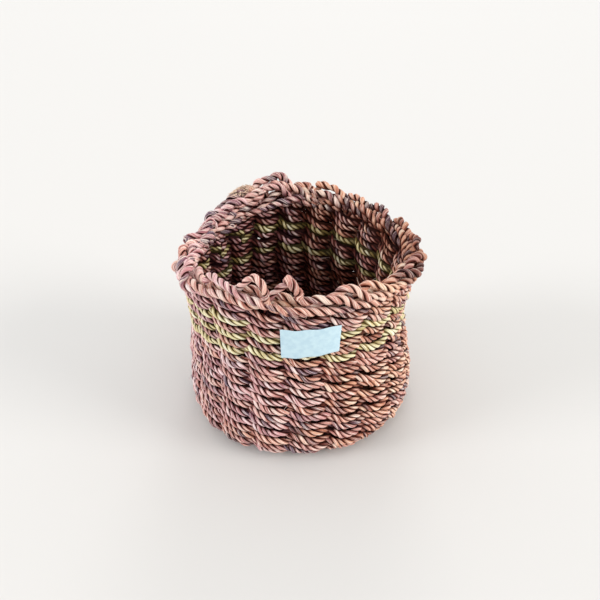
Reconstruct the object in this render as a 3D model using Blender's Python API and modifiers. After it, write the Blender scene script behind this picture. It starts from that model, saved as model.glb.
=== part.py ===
"""A round basket twined from plied rope.

Ten long stakes cross in a plaited square under the floor, turn up the wall as twenty
uprights and fold over each other into a looped border. Pairs of weft strands twine round
the uprights: one strand passes outside a stake while its partner passes inside, and the
two swap over between stakes. A blank paper label is stuck on the front.
Units are metres, +Z is up, and the basket stands on the plane z = 0 around the Z axis.
"""
import math

import bmesh
import bpy
from mathutils import Vector

# Ropes
stake_diameter = 0.0046
border_diameter = 0.0056
weft_diameter = 0.0059
rope_clearance = 0.0003

# Weave
stakes_per_side = 5
first_stake_turn = math.radians(4.0)
course_gap = 0.0007
course_count = 21.0
accent_lower_start = 14.0
accent_lower_end = 15.0
accent_middle_start = 16.7
accent_middle_end = 17.6
accent_upper_start = 18.6
accent_upper_end = 18.9
rounds_per_length = 3.5

# Outline of the stake line
foot_radius = 0.0950
waist_radius = 0.0855
mouth_radius = 0.0900
waist_height = 0.0990
bend_radius = 0.0090
bend_steps = 3
wall_steps = 5

# Floor
mat_spacing = 0.0095
fan_radius = 0.0360
floor_weft_gap = 0.0008

# Border
riser_height = 0.0048
arch_height = 0.0139
lap_height = 0.0114
tail_height = 0.0030

# Label
label_width = 0.0415
label_height = 0.0240
label_thickness = 0.0003
label_middle_height = 0.1165
label_turn = math.radians(1.6)
label_steps = 8

# Sizes that follow from these
stake_count = 4 * stakes_per_side
stake_angle = 2.0 * math.pi / stake_count
middle_row = (stakes_per_side - 1) / 2.0
weave_turn = middle_row % 1.0 * stake_angle
stake_radius = stake_diameter / 2.0
weft_radius = weft_diameter / 2.0
course_pitch = weft_diameter + course_gap
crossing_shift = course_pitch / 4.0
crossing_radius = (course_pitch / 2.0 - 3.0 * rope_clearance) / 2.0
weft_offset = stake_radius + rope_clearance + weft_radius
weave_reach = weft_offset + weft_radius
foot_flat_depth = weft_diameter / 10.0
base_level = weave_reach - foot_flat_depth
bend_start_radius = foot_radius - bend_radius
wall_foot = base_level + bend_radius
wall_length = course_count * course_pitch - bend_radius * math.pi / 2.0
top_course_height = wall_foot + wall_length
wall_top = top_course_height + course_pitch / 2.0 + rope_clearance

# Every weft is laid in half steps: one at each stake and one in each gap between stakes
HALF_STEPS_PER_ROUND = 2 * stake_count
OUTSIDE, GOING_IN, INSIDE, COMING_OUT = range(4)


def clear_scene():
    for item in list(bpy.data.objects):
        bpy.data.objects.remove(item, do_unlink=True)


def new_collection(name):
    collection = bpy.data.collections.new(name)
    bpy.context.scene.collection.children.link(collection)
    return collection


def new_material(name, colour, roughness):
    material = bpy.data.materials.new(name)
    material.use_nodes = True
    shader = material.node_tree.nodes["Principled BSDF"]
    shader.inputs["Base Color"].default_value = (*colour, 1.0)
    shader.inputs["Roughness"].default_value = roughness
    shader.inputs["Metallic"].default_value = 0.0
    material.diffuse_color = (*colour, 1.0)
    return material


def wall_radius(height):
    """Radius of the stake line: wide at the foot, drawn in at the waist, wider at the mouth."""
    if height < waist_height:
        share = (height - wall_foot) / (waist_height - wall_foot)
        start, end = foot_radius, waist_radius
    else:
        share = (height - waist_height) / (wall_top - waist_height)
        start, end = waist_radius, mouth_radius
    share = min(max(share, 0.0), 1.0)
    return start + (end - start) * (1.0 - math.cos(math.pi * share)) / 2.0


def make_stake_line():
    """Stations (radius, height) of the stake line, from the edge of the flat floor to the wall top."""
    stations = []
    for step in range(bend_steps + 1):
        angle = math.pi / 2.0 * step / bend_steps
        stations.append((bend_start_radius + bend_radius * math.sin(angle),
                         base_level + bend_radius * (1.0 - math.cos(angle))))
    for step in range(1, wall_steps + 1):
        height = wall_foot + (wall_top - wall_foot) * step / wall_steps
        stations.append((wall_radius(height), height))
    return stations


def station_normals(stations):
    """Outward unit normal at each station; the first one looks down from the flat floor."""
    normals = []
    last = len(stations) - 1
    for number, station in enumerate(stations):
        before = stations[number - 1] if number > 0 else (station[0] - bend_radius, station[1])
        after = stations[number + 1] if number < last else station
        way = Vector((after[0] - before[0], after[1] - before[1])).normalized()
        normals.append((way.y, -way.x))
    return normals


STATIONS = make_stake_line()
NORMALS = station_normals(STATIONS)
LENGTHS = [0.0]
for near, far in zip(STATIONS, STATIONS[1:]):
    LENGTHS.append(LENGTHS[-1] + math.dist(near, far))


def on_stake_line(distance):
    """Radius, height and outward normal at a distance along the stake line past the flat floor."""
    if distance <= 0.0:
        return bend_start_radius + distance, base_level, 0.0, -1.0
    span = 0
    while span < len(LENGTHS) - 2 and distance > LENGTHS[span + 1]:
        span += 1
    share = (distance - LENGTHS[span]) / (LENGTHS[span + 1] - LENGTHS[span])
    radius, height = (a + (b - a) * share for a, b in zip(STATIONS[span], STATIONS[span + 1]))
    share = min(share, 1.0)
    out, up = (a + (b - a) * share for a, b in zip(NORMALS[span], NORMALS[span + 1]))
    size = math.hypot(out, up)
    return radius, height, out / size, up / size


def place(turn, radius, height):
    angle = turn + first_stake_turn - math.pi / 2.0
    return Vector((radius * math.cos(angle), radius * math.sin(angle), height))


def weave_point(turn, distance, offset):
    """Point beside the stake line, at an angle round the basket and an offset outwards."""
    radius, height, out, up = on_stake_line(distance)
    return place(turn, radius + out * offset, height + up * offset)


def make_rope(name, points, diameters, material, collection, twist="Z_UP"):
    """A rope as a four-sided tube with closed ends, thinner where the weave squeezes it."""
    curve = bpy.data.curves.new(name, "CURVE")
    curve.dimensions = "3D"
    curve.bevel_depth = 0.5
    curve.bevel_resolution = 0
    curve.render_resolution_u = 0
    curve.use_fill_caps = True
    curve.twist_mode = twist
    spline = curve.splines.new("POLY")
    spline.points.add(len(points) - 1)
    for target, point, diameter in zip(spline.points, points, diameters):
        target.co = (*point, 1.0)
        target.radius = diameter
    curve.materials.append(material)
    rope = bpy.data.objects.new(name, curve)
    collection.objects.link(rope)
    return rope


def cut_flat(rope, cutter, collection):
    """Turn a rope into a mesh and cut it off level with the ground."""
    bpy.context.view_layer.update()
    evaluated = rope.evaluated_get(bpy.context.evaluated_depsgraph_get())
    mesh = bpy.data.meshes.new_from_object(evaluated)
    weld_caps(mesh)
    flat = bpy.data.objects.new(rope.name + "_cut", mesh)
    flat.matrix_world = rope.matrix_world
    collection.objects.link(flat)
    name = rope.name
    bpy.data.objects.remove(rope, do_unlink=True)
    flat.name = name
    ground = flat.modifiers.new("ground", "BOOLEAN")
    ground.operation = "DIFFERENCE"
    ground.solver = "EXACT"
    ground.object = cutter
    return flat


def weld_caps(mesh):
    body = bmesh.new()
    body.from_mesh(mesh)
    bmesh.ops.remove_doubles(body, verts=body.verts, dist=0.000001)
    body.to_mesh(mesh)
    body.free()


def twined_strand(name, partner, rounds, material, collection):
    """One strand of a twined pair over a stretch of rounds; both its ends lie inside the wall.

    The partner strand is one stake further on, so it is inside where this one is outside.
    """
    lead = 0 if partner else 2
    first, last = (4 * round(part * HALF_STEPS_PER_ROUND / 4) + lead for part in rounds)
    if rounds[1] == course_count:
        last -= 4
    points = []
    diameters = []
    for step in range(first, last + 1):
        turn = step * stake_angle / 2.0 + weave_turn
        distance = step * course_pitch / HALF_STEPS_PER_ROUND
        stage = (step + lead + 2) % 4
        if stage == OUTSIDE:
            points.append(weave_point(turn, distance, weft_offset))
            diameters.append(weft_diameter)
        elif stage == GOING_IN:
            points.append(weave_point(turn, distance - crossing_shift, 0.0))
            diameters.append(2.0 * crossing_radius)
        elif stage == COMING_OUT:
            points.append(weave_point(turn, distance + crossing_shift, 0.0))
            diameters.append(2.0 * crossing_radius)
        else:
            inner = inside_radius(distance)
            offset = -(stake_radius + rope_clearance + inner)
            for run in splice_runs(step, first, last):
                points.append(weave_point(turn + run / waist_radius, distance, offset))
                diameters.append(2.0 * inner)
    return make_rope(name, points, diameters, material, collection)


def lower_lengths(material):
    """The lower wall takes more rope than one length holds, so new lengths are spliced in."""
    count = max(1, round(accent_lower_start / rounds_per_length))
    share = accent_lower_start / count
    return [("lower_weft_%d_" % (number + 1), (number * share, (number + 1) * share), material)
            for number in range(count)]


def splice_runs(step, first, last):
    """Where the stitch's points lie along the course: an end runs straight and stops short."""
    if step == first:
        return (rope_clearance, stake_radius)
    if step == last:
        return (-stake_radius, -rope_clearance)
    return (0.0,)


def inside_radius(distance):
    """Radius of an inner stitch, squeezed where the courses crowd inside the bend."""
    bend_length = LENGTHS[bend_steps]
    if distance > bend_length + course_pitch:
        return weft_radius
    crowded = course_pitch * (1.0 - weft_offset / bend_radius)
    return min(weft_radius, (crowded - rope_clearance) / 2.0)


def floor_strand(name, partner, material, collection):
    """One of two strands that chase each other over and under the spread stakes of the floor."""
    pitch = weft_diameter + floor_weft_gap
    tightest = stake_count * 2.0 * (weft_offset + rope_clearance) / (2.0 * math.pi)
    start = max(fan_radius + weft_diameter, tightest)
    end = bend_start_radius - crossing_shift - weft_diameter - rope_clearance
    rounds = (end - start - pitch) / (2.0 * pitch)
    points = []
    for step in range(int(rounds * stake_count) + 1):
        radius = start + 2.0 * pitch * step / stake_count + (pitch if partner else 0.0)
        over = (step + (1 if partner else 0)) % 2 == 0
        height = base_level + (weft_offset if over else -weft_offset)
        gap = radius * stake_angle
        half_flat = (gap - math.sqrt(gap ** 2 - (2.0 * weft_offset) ** 2)) / 2.0 + rope_clearance
        for side in (-1, 1):
            turn = step * stake_angle + weave_turn + side * half_flat / radius
            points.append(place(turn, radius, height))
    return make_rope(name, points, [weft_diameter] * len(points), material, collection)


def border_route():
    """Pitches along the rim, offset outwards and height over the wall top, one entry a bend.

    The end rises, arches over and outside the next stake, slopes down outside the stake
    after that and tucks in behind the third, so three ends lie over each other all round.
    """
    lap = border_diameter + rope_clearance
    return [
        (0.03, 0.0, riser_height),
        (0.25, 0.0, (riser_height + arch_height) / 2.0 + 0.18 * border_diameter),
        (0.60, 0.40 * lap, arch_height),
        (1.00, 1.05 * lap, lap_height),
        (1.50, 1.08 * lap, (lap_height + tail_height) / 2.0),
        (2.15, 1.05 * lap, tail_height),
        (2.50, 0.05 * lap, tail_height),
        (2.75, -0.90 * lap, tail_height),
    ]


def stake_end(number):
    """Half of a long stake, from where it leaves the plaited square to its tip in the border."""
    turn = number * stake_angle
    points = [place(turn, fan_radius, base_level)]
    diameters = [stake_diameter]
    for radius, height in STATIONS:
        points.append(place(turn, radius, height))
        diameters.append(stake_diameter)
    for along, offset, rise in border_route():
        points.append(place(turn + along * stake_angle, mouth_radius + offset, wall_top + rise))
        diameters.append(border_diameter)
    return points, diameters


def mat_rise():
    """Half the height between two crossing stakes, so that they clear each other as they bend."""
    apart = stake_diameter + rope_clearance
    return apart / 2.0 / math.sqrt(1.0 - 2.0 * (apart / mat_spacing) ** 2)


def long_stake(number, material, collection):
    """A stake that crosses the floor; the first five run one way and the others across them."""
    across = number >= stakes_per_side
    row = number % stakes_per_side
    lean = row - middle_row
    if across:
        near_end, far_end = 3 * stakes_per_side + lean, stakes_per_side - lean
    else:
        near_end, far_end = 2 * stakes_per_side - lean, lean
    crossing = []
    for column in range(stakes_per_side):
        along = (column - middle_row) * mat_spacing
        aside = lean * mat_spacing
        turn = math.atan2(along, aside) if across else math.atan2(aside, along)
        rises = (row + column) % 2 == (1 if across else 0)
        height = base_level + (mat_rise() if rises else -mat_rise())
        crossing.append(place(turn, math.hypot(along, aside), height))
    near_points, near_sizes = stake_end(near_end)
    far_points, far_sizes = stake_end(far_end)
    points = near_points[::-1] + crossing + far_points
    diameters = near_sizes[::-1] + [stake_diameter] * stakes_per_side + far_sizes
    name = "stake_%02d" % (number + 1)
    return make_rope(name, points, diameters, material, collection, "MINIMUM")


def outermost_stitch(low, high):
    """Largest radius of the outside stitches between two heights."""
    reach = 0.0
    for course in range(int(course_count)):
        radius, height, out, _ = on_stake_line(course * course_pitch)
        if low - weft_radius < height < high + weft_radius:
            reach = max(reach, radius + out * weave_reach)
    return reach


def paper_label(material, collection):
    """A thin strip of paper wrapped over the outermost stitches beside the front stake."""
    low = label_middle_height - label_height / 2.0
    high = label_middle_height + label_height / 2.0
    inner = outermost_stitch(low, high) + rope_clearance
    bpy.ops.mesh.primitive_grid_add(x_subdivisions=label_steps, y_subdivisions=1, size=1.0)
    label = bpy.context.object
    label.name = "paper_label"
    for vertex in label.data.vertices:
        turn = weave_turn + label_turn + vertex.co.x * label_width / inner
        vertex.co = place(turn, inner, label_middle_height + vertex.co.y * label_height)
    sheet = label.modifiers.new("paper", "SOLIDIFY")
    sheet.thickness = label_thickness
    sheet.offset = 1.0
    label.data.materials.append(material)
    for group in label.users_collection:
        group.objects.unlink(label)
    collection.objects.link(label)
    return label


def ground_cutter(collection):
    """A slab under the ground that cuts the lowest stitches flat."""
    size = 4.0 * foot_radius
    depth = 10.0 * foot_flat_depth
    bpy.ops.mesh.primitive_cube_add(size=1.0, location=(0.0, 0.0, -depth / 2.0))
    cutter = bpy.context.object
    cutter.name = "ground_cutter"
    cutter.scale = (size, size, depth)
    cutter.hide_render = True
    cutter.display_type = "WIRE"
    for group in cutter.users_collection:
        group.objects.unlink(cutter)
    collection.objects.link(cutter)
    return cutter


def build():
    clear_scene()
    parts = new_collection("rope_basket")
    cutters = new_collection("cutters")
    stake_rope = new_material("stake_rope", (0.42, 0.21, 0.17), 0.85)
    pink_rope = new_material("pink_rope", (0.40, 0.19, 0.17), 0.85)
    accent_rope = new_material("accent_rope", (0.62, 0.56, 0.24), 0.85)
    paper = new_material("paper", (0.82, 0.87, 0.90), 0.60)
    cutter = ground_cutter(cutters)

    for number in range(2 * stakes_per_side):
        long_stake(number, stake_rope, parts)

    for partner, letter in ((False, "a"), (True, "b")):
        floor = floor_strand("floor_weft_" + letter, partner, pink_rope, parts)
        cut_flat(floor, cutter, parts)
        bands = lower_lengths(pink_rope) + [
            ("accent_weft_lower_", (accent_lower_start, accent_lower_end), accent_rope),
            ("middle_weft_", (accent_lower_end, accent_middle_start), pink_rope),
            ("accent_weft_middle_", (accent_middle_start, accent_middle_end), accent_rope),
            ("shoulder_weft_", (accent_middle_end, accent_upper_start), pink_rope),
            ("accent_weft_upper_", (accent_upper_start, accent_upper_end), accent_rope),
            ("upper_weft_", (accent_upper_end, course_count), pink_rope),
        ]
        for stem, rounds, rope in bands:
            strand = twined_strand(stem + letter, partner, rounds, rope, parts)
            if rounds[0] == 0.0:
                cut_flat(strand, cutter, parts)
    paper_label(paper, parts)


build()
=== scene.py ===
"""Looks of the twined rope basket: each rope of the frame is replaced by one laid from plies.

Units are metres, +Z is up and the labelled front faces -Y. A turn is an angle round the basket,
0 at the first stake, and a half step is half the way from one stake to the next. Tables that start
with degrees count them from the front, with the right side positive.
"""
import math

import bpy
import numpy as np
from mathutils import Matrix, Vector


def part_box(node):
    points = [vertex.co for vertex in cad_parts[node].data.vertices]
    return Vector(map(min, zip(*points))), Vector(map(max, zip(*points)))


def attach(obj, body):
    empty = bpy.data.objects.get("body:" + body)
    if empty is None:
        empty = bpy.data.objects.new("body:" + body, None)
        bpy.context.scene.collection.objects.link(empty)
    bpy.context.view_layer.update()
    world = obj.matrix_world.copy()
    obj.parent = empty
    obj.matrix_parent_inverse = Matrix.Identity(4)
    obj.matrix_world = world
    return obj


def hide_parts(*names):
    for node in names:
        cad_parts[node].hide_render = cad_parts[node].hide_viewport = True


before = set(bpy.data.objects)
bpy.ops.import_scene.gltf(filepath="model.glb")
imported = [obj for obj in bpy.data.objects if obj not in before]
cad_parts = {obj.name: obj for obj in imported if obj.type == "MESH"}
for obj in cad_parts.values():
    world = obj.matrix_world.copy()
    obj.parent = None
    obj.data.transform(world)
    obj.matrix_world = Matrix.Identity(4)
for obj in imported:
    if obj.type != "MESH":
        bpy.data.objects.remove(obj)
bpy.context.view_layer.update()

# Ropes
WEFT_RADIUS = 0.0027
STAKE_RADIUS = 0.0022
BORDER_RADIUS = 0.0033
WEFT_LAY = 0.0190
BORDER_LAY = 0.0160

# Weave, the same as in the solids
STAKES_PER_SIDE = 5
STAKE_COUNT = 4 * STAKES_PER_SIDE
STAKE_ANGLE = 2.0 * math.pi / STAKE_COUNT
HALF_STEPS_PER_ROUND = 2 * STAKE_COUNT
FIRST_STAKE_TURN = math.radians(4.0)
COURSE_PITCH = 0.0066
COURSE_COUNT = 21.0
LENGTHS_BELOW_ACCENT = 4
ACCENT_LOWER = (14.0, 15.0)
ACCENT_MIDDLE = (16.7, 17.6)
ACCENT_UPPER = (18.6, 18.9)

# Outline of the stake line, the same as in the solids
FOOT_RADIUS = 0.0950
WAIST_RADIUS = 0.0855
MOUTH_RADIUS = 0.0900
WAIST_HEIGHT = 0.0990
BEND_RADIUS = 0.0090
BASE_LEVEL = 0.00791
BEND_START = FOOT_RADIUS - BEND_RADIUS
WALL_FOOT = BASE_LEVEL + BEND_RADIUS
TOP_COURSE = WALL_FOOT + COURSE_COUNT * COURSE_PITCH - BEND_RADIUS * math.pi / 2.0
ROPE_CLEARANCE = 0.0003
WALL_TOP = TOP_COURSE + COURSE_PITCH / 2.0 + ROPE_CLEARANCE
LINE_PAST_TOP = 0.03
BEND_STEPS = 24
WALL_STEPS = 80


def wall_radius(height):
    """Radius of the stake line: wide at the foot, drawn in at the waist, wider at the mouth."""
    low = (height - WALL_FOOT) / (WAIST_HEIGHT - WALL_FOOT)
    high = (height - WAIST_HEIGHT) / (WALL_TOP - WAIST_HEIGHT)
    below = height < WAIST_HEIGHT
    share = np.clip(np.where(below, low, high), 0.0, 1.0)
    start = np.where(below, FOOT_RADIUS, WAIST_RADIUS)
    end = np.where(below, WAIST_RADIUS, MOUTH_RADIUS)
    return start + (end - start) * (1.0 - np.cos(math.pi * share)) / 2.0


def make_stake_line():
    """Distance past the flat floor, radius, height and outward normal along the smooth stake line."""
    bend = np.linspace(0.0, math.pi / 2.0, BEND_STEPS)
    radius = BEND_START + BEND_RADIUS * np.sin(bend)
    height = BASE_LEVEL + BEND_RADIUS * (1.0 - np.cos(bend))
    wall = np.linspace(WALL_FOOT, WALL_TOP + LINE_PAST_TOP, WALL_STEPS)[1:]
    radius = np.concatenate([[0.0], radius, wall_radius(wall)])
    height = np.concatenate([[BASE_LEVEL], height, wall])
    lengths = np.concatenate([[0.0], np.cumsum(np.hypot(np.diff(radius), np.diff(height)))])
    distance = lengths - BEND_START
    way_r = np.gradient(radius, distance)
    way_z = np.gradient(height, distance)
    size = np.hypot(way_r, way_z)
    return distance, radius, height, way_z / size, -way_r / size


LINE_DISTANCE, LINE_RADIUS, LINE_HEIGHT, LINE_OUT, LINE_UP = make_stake_line()


def on_stake_line(distance):
    """Radius, height and outward normal at a distance past the flat floor."""
    return [np.interp(distance, LINE_DISTANCE, values)
            for values in (LINE_RADIUS, LINE_HEIGHT, LINE_OUT, LINE_UP)]


def distance_at_height(height):
    """How far up the wall a height lies, measured along the stake line."""
    wall = BEND_STEPS + 1
    return float(np.interp(height, LINE_HEIGHT[wall:], LINE_DISTANCE[wall:]))


def place(turn, radius, height):
    angle = turn + FIRST_STAKE_TURN - math.pi / 2.0
    return np.stack([radius * np.cos(angle), radius * np.sin(angle), height], -1)


def weave_points(turn, distance, offset):
    """Points beside the stake line, an offset outwards from it."""
    radius, height, out, up = on_stake_line(distance)
    return place(turn, radius + out * offset, height + up * offset)


def weave_normals(turn, distance):
    _, _, out, up = on_stake_line(distance)
    return place(turn, out, up)


def smooth_noise(rng, length, spacing):
    """A function of distance that wanders smoothly between -1 and 1."""
    count = max(4, int(length / spacing) + 4)
    knots = rng.uniform(-1.0, 1.0, count)

    def wander(distance):
        at = np.clip(distance / spacing, 0.0, count - 2.001)
        whole = at.astype(int)
        share = at - whole
        share = share * share * (3.0 - 2.0 * share)
        return knots[whole] * (1.0 - share) + knots[whole + 1] * share

    return wander


def along(points):
    """Distance of each point from the first one, along the path."""
    return np.concatenate([[0.0], np.cumsum(np.linalg.norm(np.diff(points, axis=0), axis=1))])


def resample(points, step, *values):
    """Points spaced evenly along the path, their distances, and any values carried along."""
    distance = along(points)
    count = max(2, int(distance[-1] / step) + 1)
    even = np.linspace(0.0, distance[-1], count)

    def carried(value):
        if value.ndim == 1:
            return np.interp(even, distance, value)
        return np.stack([np.interp(even, distance, column) for column in value.T], -1)

    return [carried(points), even] + [carried(value) for value in values]


def curve_through(points, steps):
    """Smooth curve through a few points, with a number of steps between each two."""
    points = np.asarray(points, float)
    padded = np.vstack([2.0 * points[0] - points[1], points, 2.0 * points[-1] - points[-2]])
    pieces = []
    share = np.linspace(0.0, 1.0, steps, endpoint=False)[:, None]
    for first in range(len(points) - 1):
        a, b, c, d = padded[first:first + 4]
        bow = 2.0 * a - 5.0 * b + 4.0 * c - d
        twist = 3.0 * b - a - 3.0 * c + d
        pieces.append(0.5 * (2.0 * b + (c - a) * share + bow * share ** 2 + twist * share ** 3))
    return np.vstack(pieces + [points[-1:]])


def unit(vectors):
    return vectors / np.maximum(np.linalg.norm(vectors, axis=-1, keepdims=True), 1e-12)


def rings_round(first, reach, second, spread):
    """Rings of points beside a path: how far each point lies in two directions of its place."""
    return reach[..., None] * first[:, None, :] + spread[..., None] * second[:, None, :]


def at_degrees(degrees, table):
    """Value at one turn in degrees, on straight lines between a table's rows."""
    return float(np.interp(degrees, *zip(*table)))


# How far the rows rise, at turns in degrees, and the degrees to each side that it is smoothed over
ROW_RISE = (
    (-180.0, 0.0130), (-166.0, 0.0155), (-150.0, 0.0090), (-135.0, 0.0010), (-120.0, -0.0050),
    (-100.0, -0.0095), (-80.0, -0.0105), (-62.0, -0.0080), (-46.0, -0.0050), (-31.0, -0.0020),
    (-14.0, 0.0040), (4.0, 0.0010), (22.0, 0.0020), (44.0, 0.0040), (60.0, 0.0010),
    (80.0, -0.0035), (100.0, -0.0035), (130.0, -0.0030), (152.0, 0.0), (166.0, 0.0060),
)
ROW_BLUR = 9.0
# A row rises in full at this height and less below it, by a power of its share of the height
FULL_HEIGHT = 0.16
HIGHEST_SHARE = 1.1
ROW_GAIN = 1.3
# How much thinner and how much thicker the ropes may be where the rows dip and rise
ROW_STRETCH = (-0.06, 0.20)

# Height of the border's upper edge, at turns in degrees, and its smoothing
RIM_TOP = (
    (-180.0, 0.1660), (-176.0, 0.1680), (-170.0, 0.1740), (-161.0, 0.1750), (-154.0, 0.1730),
    (-148.0, 0.1640), (-140.0, 0.1600), (-130.0, 0.1580), (-119.0, 0.1520), (-107.0, 0.1460),
    (-92.0, 0.1435), (-78.0, 0.1445), (-62.0, 0.1500), (-50.0, 0.1545), (-42.0, 0.1580),
    (-32.0, 0.1560), (-27.0, 0.1600), (-22.0, 0.1665), (-17.0, 0.1690), (-14.0, 0.1650),
    (-12.0, 0.1570), (-10.0, 0.1655), (-4.0, 0.1665), (-1.5, 0.1600), (3.0, 0.1545),
    (12.0, 0.1540), (16.0, 0.1590), (20.0, 0.1620), (28.0, 0.1585), (41.0, 0.1540),
    (57.0, 0.1520), (75.0, 0.1550), (90.0, 0.1530), (104.0, 0.1560), (118.0, 0.1550),
    (131.0, 0.1560), (140.0, 0.1575), (149.0, 0.1610), (158.0, 0.1615), (163.0, 0.1640),
    (168.0, 0.1680), (175.0, 0.1670),
)
RIM_BLUR = 2.0
BLUR_STEPS = 13

# Waves of the outline: size, waves in a round, how they slope up the wall, and where they start
RISE_WAVES = ((0.0006, 5.0, 3.0, 0.4),)
RADIUS_WAVES = ((0.0009, 3.0, 2.0, 1.3), (0.0007, 5.0, -4.0, 0.0))
LEAN_WAVES = ((math.radians(2.0), 3.0, 6.0, 0.0), (math.radians(1.0), 7.0, 9.0, 2.0))
# The floor stays even: the waves begin at this radius and are whole this much further out
WAVES_START = 0.05
WAVES_BLEND = 0.03
# The waist stands a little to the left of the foot: how far, and where in shares of the full height
WAIST_SHIFT = 0.0030
WAIST_SHARE = 0.62
WAIST_BLEND = 0.22


def round_curve(table, blur):
    """A smooth function of the turn in degrees, from a table that runs once round the basket."""
    turns, values = (np.array(column) for column in zip(*table))
    turns = np.concatenate([turns - 360.0, turns, turns + 360.0])
    values = np.tile(values, 3)
    fine = np.linspace(-180.0, 180.0, 361)
    window = np.linspace(-blur, blur, BLUR_STEPS)
    soft = np.interp(fine[:, None] + window, turns, values).mean(-1)
    return lambda turn: np.interp(turn, fine, soft)


ROW_CURVE = round_curve(ROW_RISE, ROW_BLUR)
RIM_CURVE = round_curve(RIM_TOP, RIM_BLUR)


def height_share(height):
    return np.clip(height / FULL_HEIGHT, 0.0, HIGHEST_SHARE)


def waves(table, angle, share):
    return sum(size * np.sin(count * angle + slope * share + start) for size, count, slope, start in table)


def settle(points):
    """Hand-made irregularity of the whole basket: rows dip and rise, stakes lean, the outline wavers."""
    x, y, z = points.T
    angle = np.arctan2(y, x)
    radius = np.hypot(x, y)
    share = height_share(z)
    wall = np.clip((radius - WAVES_START) / WAVES_BLEND, 0.0, 1.0)
    row = ROW_CURVE(np.degrees(np.arctan2(x, -y)))
    rise = (row * share ** ROW_GAIN + waves(RISE_WAVES, angle, share) * share) * wall
    radius = radius + waves(RADIUS_WAVES, angle, share) * wall
    angle = angle + waves(LEAN_WAVES, angle, share) * wall * share
    waist = np.exp(-((share - WAIST_SHARE) / WAIST_BLEND) ** 2) * wall
    return np.stack([radius * np.cos(angle) - WAIST_SHIFT * waist, radius * np.sin(angle), z + rise], -1)


def row_stretch(points):
    """How much thicker the ropes are where the rows rise and so lie farther apart."""
    x, y, z = points.T
    share = height_share(z)
    row = ROW_CURVE(np.degrees(np.arctan2(x, -y)))
    return 1.0 + np.clip(row * ROW_GAIN * share ** (ROW_GAIN - 1.0) / FULL_HEIGHT, *ROW_STRETCH)


# Strips of the map that the materials are baked on: their height, and the free part at each edge
STRIP_HEIGHT = 0.010
STRIP_MARGIN = 0.06
STRIP_END = 0.999


class Strands:
    """Plies gathered for one piece, with the values its material reads."""

    def __init__(self):
        self.points = []
        self.faces = []
        self.fibre = []
        self.crest = []
        self.tone = []
        self.hue = []
        self.rows = []
        self.count = 0

    def add_ply(self, rings, lengths, crest, tone, hue, shift):
        """Rings of points along one ply; each ring starts on the side hidden inside the rope."""
        count, sides = rings.shape[:2]
        index = self.count + np.arange(count * sides).reshape(count, sides)
        self.points.append(rings.reshape(-1, 3))
        self.crest.append(np.broadcast_to(crest, (count, sides)).ravel())
        self.tone.append(np.broadcast_to(tone[:, None], (count, sides)).ravel())
        self.hue.append(np.broadcast_to(hue[:, None], (count, sides)).ravel())
        follow = np.roll(index, -1, axis=1)
        quads = np.stack([index[:-1], follow[:-1], follow[1:], index[1:]], -1).reshape(-1, 4)
        self.faces.append(quads)
        across = np.arange(sides + 1) / sides
        low, high = lengths[:-1, None], lengths[1:, None]
        left, right = np.broadcast_arrays(across[None, :-1], across[None, 1:])
        corners = [(low, left), (low, right), (high, right), (high, left)]
        uv = [np.stack(np.broadcast_arrays(length + shift, side), -1) for length, side in corners]
        self.fibre.append(np.stack(uv, 2).reshape(-1, 2))
        self.rows.append((count - 1, sides))
        self.count += count * sides

    def bake_map(self):
        """Every ply as a strip, cut into rows that fill one square."""
        total = sum(rings for rings, _ in self.rows)
        rows = max(4, int(math.sqrt(total * RING_STEP / STRIP_HEIGHT)))
        per_row = math.ceil(total / rows)
        step = STRIP_END / per_row
        parts = []
        start = 0
        for rings, sides in self.rows:
            number = start + np.arange(rings)
            row = number // per_row
            left = (number % per_row) / per_row
            across = STRIP_MARGIN + (1.0 - 2.0 * STRIP_MARGIN) * np.arange(sides + 1) / sides
            low, high = across[:-1], across[1:]
            corners = []
            for shift, side in ((0.0, low), (0.0, high), (step, high), (step, low)):
                u = np.broadcast_to(left[:, None] + shift, (rings, sides))
                v = (row[:, None] + side[None, :]) / rows
                corners.append(np.stack([u, v], -1))
            parts.append(np.stack(corners, 2).reshape(-1, 2))
            start += rings
        return np.vstack(parts)

    def make(self, name, material):
        """The piece's mesh; where it would go below the table it is flat."""
        points = np.vstack(self.points).astype(np.float32)
        points[:, 2] = np.maximum(points[:, 2], 0.0)
        faces = np.vstack(self.faces).astype(np.int32)
        mesh = bpy.data.meshes.new(name)
        mesh.vertices.add(len(points))
        mesh.vertices.foreach_set("co", points.ravel())
        mesh.loops.add(faces.size)
        mesh.loops.foreach_set("vertex_index", faces.ravel())
        mesh.polygons.add(len(faces))
        mesh.polygons.foreach_set("loop_start", np.arange(0, faces.size, 4, dtype=np.int32))
        mesh.update(calc_edges=True)
        mesh.shade_smooth()
        for attribute, values in (("crest", self.crest), ("tone", self.tone), ("hue", self.hue)):
            layer = mesh.attributes.new(attribute, "FLOAT", "POINT")
            layer.data.foreach_set("value", np.concatenate(values).astype(np.float32))
        for layer_name, uv in (("FibreMap", np.vstack(self.fibre)), ("OFBake", self.bake_map())):
            layer = mesh.uv_layers.new(name=layer_name)
            layer.uv.foreach_set("vector", uv.astype(np.float32).ravel())
        mesh.uv_layers["FibreMap"].active_render = True
        mesh.validate()
        mesh.materials.append(material)
        piece = bpy.data.objects.new(name, mesh)
        bpy.context.scene.collection.objects.link(piece)
        return piece


# How a rope is laid: plies, distance of a ply's middle from the rope's, half its depth, half its width
WEFT_PLIES = (3, 0.53, 0.47, 0.53)
BORDER_PLIES = (2, 0.47, 0.53, 0.72)
PLY_SIDES = 10
RING_STEP = 0.0012
TWIST_WANDER = 0.8
PLY_SWELL = 0.24
# An end narrows over this length, down to this size, in rope radii
END_LENGTH = 0.9
END_SIZE = 0.02

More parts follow.
